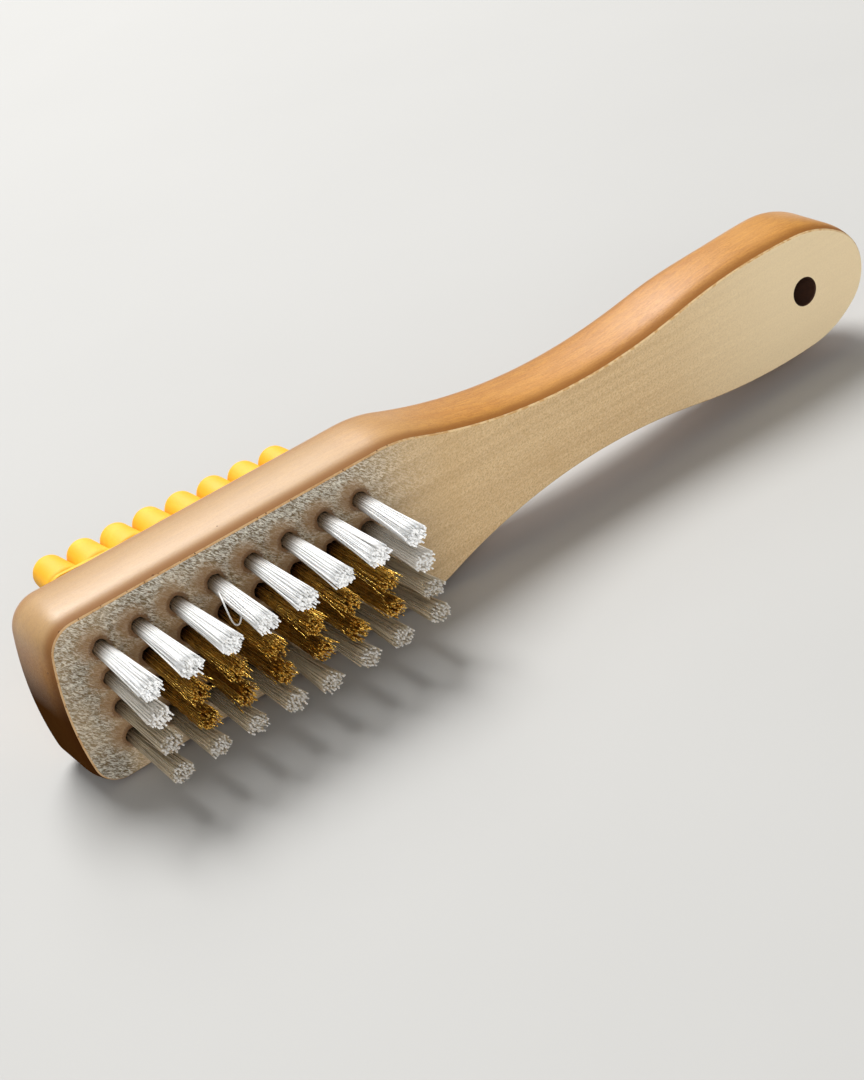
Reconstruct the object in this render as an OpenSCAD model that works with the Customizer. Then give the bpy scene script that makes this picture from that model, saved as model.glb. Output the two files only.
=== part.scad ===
// Suede brush. Nylon and brass tufts are folded over flat anchors and driven into blind holes in the
// face of a wooden handle, and a rubber pad of blunt nubs is glued to the back of the head.
// Every piece is drawn face up, with the head end at x = 0, and then stood on its long lower edge.

/* [Handle] */
// Length of the handle from the head end to the grip end, over its rounded sides
handle_l = 193.8; // [177:0.1:216]
// Thickness of the wood from the bristle face to the back
handle_t = 17; // [15:0.5:20]
// Width of the head over its rounded sides
head_w = 35.3; // [35.1:0.1:39.6]
// Length of the head's straight sides, from the head end
head_l = 72.8; // [69:0.1:79]
// Radius of the head's two end corners, seen from the face
head_corner_r = 6.4; // [5:0.1:9]
// Radius of the slight crown across the head end
head_crown_r = 72; // [50:1:120]
// Radius of the shoulder where the head turns into the neck
shoulder_r = 26; // [16:1:41]
// Width of the neck at its narrowest
neck_w = 17.9; // [14.6:0.1:20.6]
// Distance of the narrowest neck from the head end
neck_x = 120.8; // [115:0.1:126.5]
// Width of the grip at its widest
grip_w = 27.4; // [24.6:0.1:29.6]
// Distance of the grip end from the grip's widest place
grip_to_end = 24.8; // [23:0.1:28.8]
// Radius of the turn from the grip's side to its end
grip_turn_r = 22.8; // [19:0.1:31]
// Radius of the grip's nose
grip_nose_r = 10.8; // [9:0.1:11.8]
// How far the rounded sides stand out beyond the edge of the bristle face
side_bulge = 0.8; // [0.2:0.1:1.2]
// Depth below the bristle face at which the sides reach their full width
side_round_h = 5; // [3:0.5:7]
// Radius of the rounded edge all round the back
back_edge_r = 3.1; // [1.5:0.1:4]
// Width of the small sanded chamfer round the bristle face
face_chamfer = 0.3; // [0.1:0.1:0.8]

/* [Hanging hole] */
// Diameter of the hanging hole
hang_d = 5.8; // [4:0.1:8]
// Distance of the hanging hole's centre from the grip end
hang_to_end = 17; // [13:0.1:20.8]

/* [Tufts] */
// Distance of the first column of tufts from the head end
tuft_inset = 10.6; // [9:0.1:12.8]
// Distance from one column of tufts to the next
tuft_pitch = 8; // [7:0.1:8.2]
// Distance from one row of tufts to the next
tuft_row_pitch = 6.4; // [6:0.1:7.5]
// Free length of a tuft above the face
tuft_l = 19; // [14:0.5:25]
// Diameter of the drilled tuft holes
tuft_hole_d = 4; // [3.9:0.1:4.6]
// Depth of the tuft holes at their full diameter
tuft_hole_depth = 12; // [10:0.5:13]
// Gap all round between a tuft's root and its hole
tuft_clearance = 0.1; // [0.05:0.05:0.2]
// Gap between a tuft's outer strands and the rim of its root
strand_inset = 0.1; // [0.05:0.05:0.2]
// How far the tips of a tuft's outer strands lean out from above their roots
tuft_spread = 0.9; // [0.1:0.05:1.1]
// Most that a strand is cut shorter than the longest one
tuft_uneven = 0.8; // [0:0.1:2]
// Corner radius of one nylon strand
nylon_r = 0.34; // [0.2:0.01:0.4]
// Corner radius of one brass strand
brass_r = 0.36; // [0.2:0.01:0.42]

/* [Anchors] */
// Thickness of the flat wire that holds a tuft down
anchor_t = 0.5; // [0.3:0.1:0.8]
// Height of the flat wire
anchor_h = 1.8; // [1.2:0.1:2.4]
// How far each end of an anchor bites into the wood
anchor_bite = 0.5; // [0.3:0.1:0.8]
// Thickness of the folded strands under an anchor
anchor_lift = 1; // [0.6:0.1:1.6]
// Gap between an anchor and what it is pressed into
anchor_clearance = 0.1; // [0.05:0.05:0.15]

/* [Rubber pad] */
// Distance of the pad's centre from the head end
pad_x = 38.8; // [37:0.1:40.5]
// Angle by which the pad is glued askew on the back
pad_skew = 3; // [0:0.5:3]
// Thickness of the pad under its nubs
pad_t = 1; // [0.8:0.1:2.4]
// Width of the pad's rim outside the outer nubs, along its two sides
pad_rim = 0.12; // [0.05:0.01:0.2]
// Width of the pad's rim outside the outer nubs, at its two ends
pad_end_rim = 1.2; // [0.2:0.1:2]
// Distance from one nub to the next along the brush
nub_pitch = 7; // [6.8:0.05:7.2]
// Least distance of the pad from the planes of the head's long sides
pad_inset = 1.1; // [0.6:0.1:2]
// Height of a nub above the pad
nub_h = 9.4; // [6:0.1:11]
// Diameter of a nub at its root
nub_d = 6.7; // [5:0.1:6.7]
// How much slimmer a nub is where its dome begins than at its root
nub_taper = 0.4; // [0:0.1:1.5]
// Height of the flattened dome on a nub
nub_dome_h = 2.2; // [1:0.1:2.4]

/* [Hidden] */
tuft_columns = 8;
tuft_rows = 4;
brass_first_column = 2;
brass_last_column = 7;
nub_columns = 8;
nub_rows = 4;
// Strands in each ring of a tuft, from its middle outwards
ring_counts = [1, 5, 9];
// Angle by which each tuft is turned from the one before, and the steps that make strands uneven
tuft_turn = 17;
uneven_steps = [97, 61, 43, 29];
// Depth of the drill's point, the gap under a tuft's root, and how deep strands run into the root
drill_point = 0.3;
root_floor = 0.3;
strand_sink = 1;
// Degrees from one point of an arc to the next, and the radius above which they get finer
arc_step = 5.5;
fine_r = 40;
side_steps = 4;
edge_steps = 5;
tip_steps = 6;
corner_steps = 8;
// How far a cut runs past the surface it opens
overrun = 1;
$fn = 48;

tuft_names = [for (row = [1 : tuft_rows], column = [1 : tuft_columns]) tuft_name(row, column)];

wood_colour = [0.87, 0.66, 0.42];
rubber_colour = [0.98, 0.80, 0.16];
nylon_colour = [0.93, 0.92, 0.88];
brass_colour = [0.66, 0.48, 0.18];
steel_colour = [0.72, 0.72, 0.70];

// Half widths, and the places of the outline's arcs along the handle
head_half = head_w / 2;
neck_half = neck_w / 2;
grip_half = grip_w / 2;
grip_x = handle_l - grip_to_end;
// An S-curve of two arcs that touch: their radii add up to this for a run and a rise
function s_curve_radii(run, rise) = (run * run + rise * rise) / (2 * rise);
neck_radii = s_curve_radii(neck_x - head_l, head_half - neck_half);
neck_r = neck_radii - shoulder_r;
neck_turn = atan2(neck_x - head_l, neck_radii - head_half + neck_half);
// From the neck to the grip the two arcs are alike
grip_r = s_curve_radii(grip_x - neck_x, grip_half - neck_half) / 2;
grip_turn = atan2(grip_x - neck_x, 2 * grip_r - grip_half + neck_half);
// The corner arc touches the straight side and the crown from inside
crown_c = [head_crown_r, 0];
corner_y = head_half - head_corner_r;
corner_x = head_crown_r - sqrt(pow(head_crown_r - head_corner_r, 2) - corner_y * corner_y);
corner_turn = atan2(corner_y, corner_x - head_crown_r);
// The grip's turn touches both the grip's side arc and the nose arc from inside
grip_c = [grip_x, grip_half - grip_r];
nose_c = [handle_l - grip_nose_r, 0];
grip_turn_c = inner_arc_centre(grip_c, grip_r - grip_turn_r, nose_c, grip_turn_r - grip_nose_r);
grip_side_end = atan2(grip_turn_c[1] - grip_c[1], grip_turn_c[0] - grip_c[0]);
nose_start = atan2(nose_c[1] - grip_turn_c[1], nose_c[0] - grip_turn_c[0]);

// Tufts, anchors and pad
tuft_root_r = tuft_hole_d / 2 - tuft_clearance;
tuft_root_depth = tuft_hole_depth - root_floor;
anchor_z = anchor_lift - tuft_root_depth;
anchor_l = tuft_hole_d + 2 * anchor_bite;
nub_root_r = nub_d / 2;
nub_top_r = (nub_d - nub_taper) / 2;
pad_corner_r = nub_root_r + pad_rim;
pad_l = (nub_columns - 1) * nub_pitch + nub_d + 2 * pad_end_rim;
// The rows of nubs are as far apart as the askew pad has room for between the head's sides
nubs_half_l = (nub_columns - 1) * nub_pitch / 2;
nubs_half_w = (head_half - pad_inset - pad_corner_r - nubs_half_l * sin(pad_skew)) / cos(pad_skew);
nub_row_pitch = 2 * nubs_half_w / (nub_rows - 1);
pad_w = 2 * nubs_half_w + 2 * pad_corner_r;
back_reach = handle_t + pad_t + nub_h;

// The meeting point, on the outer side, of a circle round one centre and a circle round another
function inner_arc_centre(a, reach_a, b, reach_b) =
    let (gap = norm(b - a))
    let (along = (b - a) / gap)
    let (across = [along[1], -along[0]])
    let (step = (reach_a * reach_a - reach_b * reach_b + gap * gap) / (2 * gap))
    a + along * step - across * sqrt(reach_a * reach_a - step * step);

// Points of an arc, each with the direction that points out of the wood there
function arc(centre, r, from, to, outward) =
    let (steps = max(3, ceil(abs(to - from) * max(1, r / fine_r) / arc_step)))
    [for (i = [1 : steps]) let (a = from + (to - from) * i / steps)
        [centre + r * [cos(a), sin(a)], outward * [cos(a), sin(a)]]];

// The upper half of the handle's outline, from the head end to the nose
upper_outline = concat(
    [[[0, 0], [-1, 0]]],
    arc(crown_c, head_crown_r, 180, corner_turn, 1),
    arc([corner_x, corner_y], head_corner_r, corner_turn, 90, 1),
    [[[head_l, head_half], [0, 1]]],
    arc([head_l, head_half - shoulder_r], shoulder_r, 90, 90 - neck_turn, 1),
    arc([neck_x, neck_half + neck_r], neck_r, -90 - neck_turn, -90, -1),
    arc([neck_x, neck_half + grip_r], grip_r, -90, -90 + grip_turn, -1),
    arc(grip_c, grip_r, 90 + grip_turn, grip_side_end, 1),
    arc(grip_turn_c, grip_turn_r, grip_side_end, nose_start, 1),
    arc(nose_c, grip_nose_r, nose_start, 0, 1));
half_count = len(upper_outline);
outline = concat(upper_outline,
    [for (i = [half_count - 2 : -1 : 1]) let (p = upper_outline[i])
        [[p[0][0], -p[0][1]], [p[1][0], -p[1][1]]]]);
outline_count = len(outline);

// Inset and height of each layer of the handle: chamfer, bulging side, flat side, rounded back edge
side_rise = side_round_h - face_chamfer;
side_r = (side_bulge * side_bulge + side_rise * side_rise) / (2 * side_bulge);
handle_layers = concat(
    [[side_bulge + face_chamfer, 0]],
    [for (i = [side_steps : -1 : 0]) let (rise = side_rise * i / side_steps)
        [side_r - sqrt(side_r * side_r - rise * rise), rise - side_round_h]],
    [for (i = [0 : edge_steps]) let (a = 90 * i / edge_steps)
        [back_edge_r * (1 - cos(a)), -(handle_t - back_edge_r) - back_edge_r * sin(a)]]);

// The handle's body: layers of the outline, joined by walls and closed by strips across both ends
module handle_body() {
    n = outline_count;
    last = (len(handle_layers) - 1) * n;
    points = [for (layer = handle_layers, p = outline)
        [p[0][0] - layer[0] * p[1][0], p[0][1] - layer[0] * p[1][1], layer[1]]];
    walls = [for (k = [0 : len(handle_layers) - 2], i = [0 : n - 1])
        let (a = k * n + i)
        let (b = k * n + (i + 1) % n)
        each [[a, b, b + n], [a, b + n, a + n]]];
    face = [for (i = [0 : half_count - 2])
        let (low = (n - i) % n)
        let (next = n - i - 1)
        each [if (i > 0) [i, low, next], if (i < half_count - 2) [i, next, i + 1]]];
    back = [for (t = face) [t[0] + last, t[2] + last, t[1] + last]];
    polyhedron(points, concat(walls, face, back));
}

// Where one tuft stands on the face
module at_tuft(row, column) {
    x = tuft_inset + (column - 1) * tuft_pitch;
    y = ((tuft_rows + 1) / 2 - row) * tuft_row_pitch;
    translate([x, y, 0]) children();
}

// A drilled hole with the drill's shallow point
module tuft_hole() {
    r = tuft_hole_d / 2;
    rotate_extrude()
        polygon([[0, -tuft_hole_depth - drill_point], [r, -tuft_hole_depth], [r, overrun], [0, overrun]]);
}

// The flat wire across a tuft's fold, grown by a clearance on every side
module anchor_bar(clearance) {
    translate([-anchor_l / 2 - clearance, -anchor_t / 2 - clearance, anchor_z - clearance])
        cube([anchor_l + 2 * clearance, anchor_t + 2 * clearance, anchor_h + 2 * clearance]);
}

module handle() {
    color(wood_colour) stand() difference() {
        handle_body();
        for (row = [1 : tuft_rows], column = [1 : tuft_columns]) at_tuft(row, column) {
            tuft_hole();
            anchor_bar(anchor_clearance);
        }
        translate([handle_l - hang_to_end, 0, -handle_t - overrun])
            cylinder(h = handle_t + 2 * overrun, d = hang_d);
    }
}

// One straight strand, leaning outwards from its root to its tip, with its own length
module strand(r, sides, ring_r, spread, angle, length) {
    lean = atan(spread / tuft_l);
    rotate([0, 0, angle])
        translate([ring_r - strand_sink * tan(lean), 0, -strand_sink])
            rotate([0, lean, 0])
                rotate([0, 0, 180 / sides])
                    cylinder(h = (length + strand_sink) / cos(lean), r = r, $fn = sides);
}

// A tuft: strands in rings, fused to the folded root that fills the hole, with a slot for the anchor
module tuft(row, column, r, sides) {
    outer_ring = len(ring_counts) - 1;
    outer_r = tuft_root_r - strand_inset - r;
    at_tuft(row, column) {
        difference() {
            translate([0, 0, -tuft_root_depth]) cylinder(h = tuft_root_depth, r = tuft_root_r);
            anchor_bar(anchor_clearance);
        }
        for (ring = [0 : outer_ring], i = [0 : ring_counts[ring] - 1]) {
            share = ring / outer_ring;
            turn = 360 * i / ring_counts[ring] + tuft_turn * (row + column);
            cut = tuft_uneven * (1 + sin(uneven_steps * [i, ring, row, column])) / 2;
            strand(r, sides, outer_r * share, tuft_spread * share, turn, tuft_l - cut);
        }
    }
}

// Rows 2 and 3 hold brass between their first and last tufts, and all the rest is nylon
function is_brass(row, column) =
    (row == 2 || row == 3) && column >= brass_first_column && column <= brass_last_column;
function tuft_name(row, column) =
    str(is_brass(row, column) ? "brass" : "nylon", "_tuft_", row, "_", column);

module nylon_tuft(row, column) {
    color(nylon_colour) stand() tuft(row, column, nylon_r, 4);
}

module brass_tuft(row, column) {
    color(brass_colour) stand() tuft(row, column, brass_r, 3);
}

module tuft_anchors() {
    color(steel_colour) stand()
        for (row = [1 : tuft_rows], column = [1 : tuft_columns]) at_tuft(row, column) anchor_bar(0);
}

// A nub: a slim cone that ends in a flattened dome
module nub() {
    rotate_extrude()
        polygon(concat([[0, -pad_t / 2], [nub_root_r, -pad_t / 2], [nub_root_r, 0]],
            [for (i = [0 : tip_steps]) let (a = 90 * i / tip_steps)
                [nub_top_r * cos(a), nub_h - nub_dome_h * (1 - sin(a))]]));
}

// A rectangle with round corners
function round_rectangle(l, w, r) =
    [for (corner = [0 : 3], i = [0 : corner_steps])
        let (a = 90 * (corner + i / corner_steps))
        [(corner == 0 || corner == 3 ? 1 : -1) * (l / 2 - r) + r * cos(a),
         (corner < 2 ? 1 : -1) * (w / 2 - r) + r * sin(a)]];

module rubber_pad() {
    color(rubber_colour) stand()
        translate([pad_x, 0, -handle_t]) rotate([0, 0, -pad_skew]) mirror([0, 0, 1]) {
            linear_extrude(height = pad_t)
                polygon(round_rectangle(pad_l, pad_w, pad_corner_r));
            for (row = [1 : nub_rows], column = [1 : nub_columns])
                translate([(column - (nub_columns + 1) / 2) * nub_pitch,
                    (row - (nub_rows + 1) / 2) * nub_row_pitch, pad_t])
                    nub();
        }
}

// The brush stands on its lower long edge, with the origin under the middle of its box
module stand() {
    translate([-handle_l / 2, (tuft_l - back_reach) / 2, head_half]) rotate([90, 0, 0]) children();
}

handle();
rubber_pad();
tuft_anchors();
for (row = [1 : tuft_rows], column = [1 : tuft_columns]) {
    union() {
        if (is_brass(row, column)) brass_tuft(row, column);
        if (!is_brass(row, column)) nylon_tuft(row, column);
    }
}
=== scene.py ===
# Looks of a suede brush: lacquered wood, nylon and brass tufts, and a yellow rubber pad.
# Shapes are worked out face up in millimetres and then stood on the brush's long edge.
import math

import bpy
import numpy as np
from mathutils import Matrix, Vector


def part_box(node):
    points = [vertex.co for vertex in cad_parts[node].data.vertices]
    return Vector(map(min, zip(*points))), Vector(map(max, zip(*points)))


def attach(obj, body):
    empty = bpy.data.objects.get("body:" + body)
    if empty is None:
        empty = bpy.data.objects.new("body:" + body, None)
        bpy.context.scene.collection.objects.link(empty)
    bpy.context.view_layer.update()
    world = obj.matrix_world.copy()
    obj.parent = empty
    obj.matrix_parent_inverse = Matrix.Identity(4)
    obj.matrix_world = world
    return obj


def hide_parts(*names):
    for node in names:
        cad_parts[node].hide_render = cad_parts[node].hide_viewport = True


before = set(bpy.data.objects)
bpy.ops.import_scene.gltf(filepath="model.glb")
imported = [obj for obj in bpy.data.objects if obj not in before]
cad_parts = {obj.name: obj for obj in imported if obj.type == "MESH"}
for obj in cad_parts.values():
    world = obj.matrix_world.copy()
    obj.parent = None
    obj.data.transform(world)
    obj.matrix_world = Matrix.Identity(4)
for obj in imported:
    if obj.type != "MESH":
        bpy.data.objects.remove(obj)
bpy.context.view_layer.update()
mm = 0.001
goldenAngle = math.pi * (3 - math.sqrt(5))
handleLow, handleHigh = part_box("handle")
middleY = (handleLow.y + handleHigh.y) / 2
middleZ = (handleLow.z + handleHigh.z) / 2
print("stage 1: frame loaded")


def stand(points):
    # From face-up millimetres to metres in the frame: x stays along the brush, y goes up, z comes forward
    placed = np.empty(points.shape)
    placed[..., 0] = handleLow.x + points[..., 0] * mm
    placed[..., 1] = handleLow.y - points[..., 2] * mm
    placed[..., 2] = middleZ + points[..., 1] * mm
    return placed


def colour(red, green, blue):
    # From screen values of 0 to 255 to the linear colour that a shader takes
    screen = np.array([red, green, blue]) / 255
    linear = np.where(screen <= 0.04045, screen / 12.92, ((screen + 0.055) / 1.055) ** 2.4)
    return (*linear.tolist(), 1.0)


# Meshes

def tubeMesh(name, rings, attributes=None, smoothCaps=False):
    # Rings are an array of tubes, rings, sides and xyz. Neighbouring rings are joined by quads,
    # and the first and last ring of each tube are closed by one flat face.
    tubes, count, sides, _ = rings.shape
    index = np.arange(tubes * count * sides).reshape(tubes, count, sides)
    near, far = index[:, :-1], index[:, 1:]
    quads = np.stack([near, np.roll(near, -1, 2), np.roll(far, -1, 2), far], axis=-1).reshape(-1, 4)
    caps = np.concatenate([index[:, 0, ::-1], index[:, -1, :]])
    loops = np.concatenate([quads.ravel(), caps.ravel()])
    starts = np.concatenate([
        np.arange(len(quads)) * 4,
        len(quads) * 4 + np.arange(len(caps)) * sides])
    smooth = np.ones(len(starts), bool)
    smooth[len(quads):] = smoothCaps
    mesh = bpy.data.meshes.new(name)
    mesh.vertices.add(index.size)
    mesh.vertices.foreach_set("co", stand(rings).ravel())
    mesh.loops.add(len(loops))
    mesh.loops.foreach_set("vertex_index", loops.astype(np.int32))
    mesh.polygons.add(len(starts))
    mesh.polygons.foreach_set("loop_start", starts.astype(np.int32))
    mesh.polygons.foreach_set("use_smooth", smooth)
    mesh.update(calc_edges=True)
    mesh.validate()
    for key, values in (attributes or {}).items():
        layer = mesh.attributes.new(key, "FLOAT", "POINT")
        layer.data.foreach_set("value", np.broadcast_to(values, (tubes, count, sides)).ravel())
    return mesh


def addPiece(name, mesh, slotName, *nodes):
    piece = bpy.data.objects.new(name, mesh)
    bpy.context.scene.collection.objects.link(piece)
    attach(piece, "root")
    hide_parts(*nodes)


# Shader nodes

def addNode(tree, kind, vector=None, **values):
    # Values whose name is an input are set on that socket, and the others on the node itself
    node = tree.nodes.new(kind)
    if vector is not None:
        tree.links.new(vector, node.inputs["Vector"])
    for key, value in values.items():
        socket = node.inputs.get(key.replace("_", " "))
        if socket is not None:
            socket.default_value = value
        else:
            setattr(node, key, value)
    return node


def noise(tree, vector, scale, detail, roughness=0.5, distortion=0.0):
    node = addNode(tree, "ShaderNodeTexNoise", vector, Scale=scale, Detail=detail, Roughness=roughness,
                   Distortion=distortion)
    return node.outputs[0]


def slanted(tree, vector, degrees, stretch):
    # Space turned about the brush's depth and drawn out along its turned x, for strokes on a slant
    node = addNode(tree, "ShaderNodeMapping", vector, vector_type="TEXTURE",
                   Rotation=(0, math.radians(degrees), 0), Scale=(stretch, 1, 1))
    return node.outputs[0]


def axisOf(tree, position, name):
    parts = tree.nodes.new("ShaderNodeSeparateXYZ")
    tree.links.new(position, parts.inputs[0])
    return parts.outputs[name]


def attributeValue(tree, name):
    node = tree.nodes.new("ShaderNodeAttribute")
    node.attribute_name = name
    return node.outputs["Fac"]


def mathNode(tree, operation, *values):
    node = tree.nodes.new("ShaderNodeMath")
    node.operation = operation
    for socket, value in zip(node.inputs, values):
        if isinstance(value, bpy.types.NodeSocket):
            tree.links.new(value, socket)
        else:
            socket.default_value = value
    return node.outputs[0]


def product(tree, first, *others):
    for other in others:
        first = mathNode(tree, "MULTIPLY", first, other)
    return first


def heap(tree, *terms):
    # Sum of the terms' values, each times its weight
    total = 0.0
    for value, weight in terms:
        total = mathNode(tree, "MULTIPLY_ADD", value, weight, total)
    return total


def between(tree, mask, low, high):
    # A number that goes from low to high as the mask goes from 0 to 1
    return mathNode(tree, "MULTIPLY_ADD", mask, high - low, low)


def ramp(tree, value, low, high):
    # 0 below low and 1 above high, with a soft start and end
    node = addNode(tree, "ShaderNodeMapRange", interpolation_type="SMOOTHSTEP", From_Min=low, From_Max=high)
    tree.links.new(value, node.inputs["Value"])
    return node.outputs["Result"]


def fade(tree, place, origin, start, end):
    # 0 at the start and 1 at the end, both in millimetres from the origin on the place's axis
    return ramp(tree, place, origin + start * mm, origin + end * mm)


def blendColours(tree, factor, first, second):
    # Colours are sockets or screen values
    node = tree.nodes.new("ShaderNodeMix")
    node.data_type = "RGBA"
    tree.links.new(factor, node.inputs[0])
    for socket, value in ((node.inputs[6], first), (node.inputs[7], second)):
        if isinstance(value, bpy.types.NodeSocket):
            tree.links.new(value, socket)
        else:
            socket.default_value = colour(*value)
    return node.outputs[2]


def tint(tree, base, mask, strength, shade):
    # The base turned towards a shade wherever the mask is 1
    return blendColours(tree, product(tree, mask, strength), base, shade)


def bumped(tree, height, depth, strength=1.0):
    # Normal of a relief whose height of 1 stands for the depth, in metres
    node = addNode(tree, "ShaderNodeBump", Distance=depth, Strength=strength)
    tree.links.new(height, node.inputs["Height"])
    return node.outputs[0]


def feed(tree, shader, **values):
    # Links each value to the shader's input of that name
    for key, value in values.items():
        tree.links.new(value, shader.inputs[key.replace("_", " ")])


def newMaterial(name, **values):
    # Values are set on the shader's inputs of that name
    material = bpy.data.materials.new(name)
    material.use_nodes = True
    tree = material.node_tree
    shader = tree.nodes["Principled BSDF"]
    for key, value in values.items():
        shader.inputs[key.replace("_", " ")].default_value = value
    position = tree.nodes.new("ShaderNodeTexCoord").outputs["Object"]
    return material, tree, shader, position


def newGroup(name, inputs, outputs):
    # Inputs are title, kind of socket and start value, and outputs are title and kind
    group = bpy.data.node_groups.new(name, "ShaderNodeTree")
    for title, kind, start in inputs:
        socket = group.interface.new_socket(name=title, in_out="INPUT", socket_type=kind)
        if start is not None:
            socket.default_value = start
    for title, kind in outputs:
        group.interface.new_socket(name=title, in_out="OUTPUT", socket_type=kind)
    return group, group.nodes.new("NodeGroupInput"), group.nodes.new("NodeGroupOutput")


def useGroup(tree, group, vector, **values):
    node = tree.nodes.new("ShaderNodeGroup")
    node.node_tree = group
    tree.links.new(vector, node.inputs["Vector"])
    for key, value in values.items():
        node.inputs[key].default_value = value
    return node


def buildStreaks():
    # Long soft streaks: noise on a point that is squeezed along one axis, in two sizes
    group, given, out = newGroup(
        "grainStreaks",
        [("Vector", "NodeSocketVector", None), ("Stretch", "NodeSocketVector", (1, 1, 1)),
         ("Scale", "NodeSocketFloat", 100.0), ("Sharpness", "NodeSocketFloat", 0.2)],
        [("Mask", "NodeSocketFloat"), ("Fine", "NodeSocketFloat")])
    squeezed = addNode(group, "ShaderNodeVectorMath", operation="MULTIPLY")
    group.links.new(given.outputs["Vector"], squeezed.inputs[0])
    group.links.new(given.outputs["Stretch"], squeezed.inputs[1])
    squeezed = squeezed.outputs[0]
    broad = addNode(group, "ShaderNodeTexNoise", squeezed, Detail=4.0, Roughness=0.55, Distortion=0.4)
    fine = addNode(group, "ShaderNodeTexNoise", squeezed, Detail=6.0, Roughness=0.7)
    group.links.new(given.outputs["Scale"], broad.inputs["Scale"])
    group.links.new(product(group, given.outputs["Scale"], 5.0), fine.inputs["Scale"])
    mask = group.nodes.new("ShaderNodeMapRange")
    group.links.new(broad.outputs[0], mask.inputs["Value"])
    group.links.new(mathNode(group, "SUBTRACT", 0.5, given.outputs["Sharpness"]), mask.inputs["From Min"])
    group.links.new(mathNode(group, "ADD", 0.5, given.outputs["Sharpness"]), mask.inputs["From Max"])
    group.links.new(mask.outputs[0], out.inputs["Mask"])
    group.links.new(fine.outputs[0], out.inputs["Fine"])
    return group


def buildSpecks():
    # Small round specks: the middle of each cell of a Voronoi pattern, where its random colour allows it
    group, given, out = newGroup(
        "specks",
        [("Vector", "NodeSocketVector", None), ("Scale", "NodeSocketFloat", 300.0),
         ("Size", "NodeSocketFloat", 0.15), ("Amount", "NodeSocketFloat", 0.4)],
        [("Mask", "NodeSocketFloat")])
    cells = addNode(group, "ShaderNodeTexVoronoi", given.outputs["Vector"])
    group.links.new(given.outputs["Scale"], cells.inputs["Scale"])
    near = mathNode(group, "LESS_THAN", cells.outputs["Distance"], given.outputs["Size"])
    parts = group.nodes.new("ShaderNodeSeparateColor")
    group.links.new(cells.outputs["Color"], parts.inputs[0])
    chosen = mathNode(group, "LESS_THAN", parts.outputs[0], given.outputs["Amount"])
    group.links.new(product(group, near, chosen), out.inputs["Mask"])
    return group


streaks = buildStreaks()
specks = buildSpecks()


# Handle: outline of touching arcs, and a rounded edge all round the back
handle = dict(
    headLength=72.8, cornerRadius=6.4, crownRadius=72.0, shoulderRadius=26.0,
    neckWidth=17.9, neckPlace=120.8, gripWidth=27.4, gripToEnd=24.8, turnRadius=22.8, noseRadius=10.8,
    sideBulge=0.8, sideRound=5.0, backRadius=3.1, gripRound=2.2, gripRoundPlace=164.0, gripRoundReach=14.0,
    faceChamfer=0.3, hangingHole=5.8, hangingToEnd=17.0, hangingChamfer=0.2, hangingSides=64,
    pointGap=0.6, turnStep=math.radians(2.5), straightSteps=29, sideSteps=10, edgeSteps=12, cutPast=1.0)
tufts = dict(
    columns=8, rows=4, inset=10.6, pitch=8.0, rowPitch=6.4, holeRadius=2.0, holeDepth=12.0, holeSides=56,
    holeWaver=0.05, lip=0.4, lipDepth=0.9, length=19.0, sink=2.0, mouthShare=0.77, gather=0.9, sway=0.2)
length = (handleHigh.x - handleLow.x) / mm
thickness = (handleHigh.y - handleLow.y) / mm
headHalf = (handleHigh.z - handleLow.z) / mm / 2


def arc(centre, radius, start, end, outward=1.0):
    # Points of a circle from one angle to another, with the direction out of the wood at each
    turn = abs(end - start)
    fewest = 4
    count = max(fewest, math.ceil(turn / handle["turnStep"]), math.ceil(turn * radius / handle["pointGap"]))
    angle = np.linspace(start, end, count + 1)[1:]
    ray = np.stack([np.cos(angle), np.sin(angle)], axis=1)
    return np.hstack([np.asarray(centre) + radius * ray, outward * ray])


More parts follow.
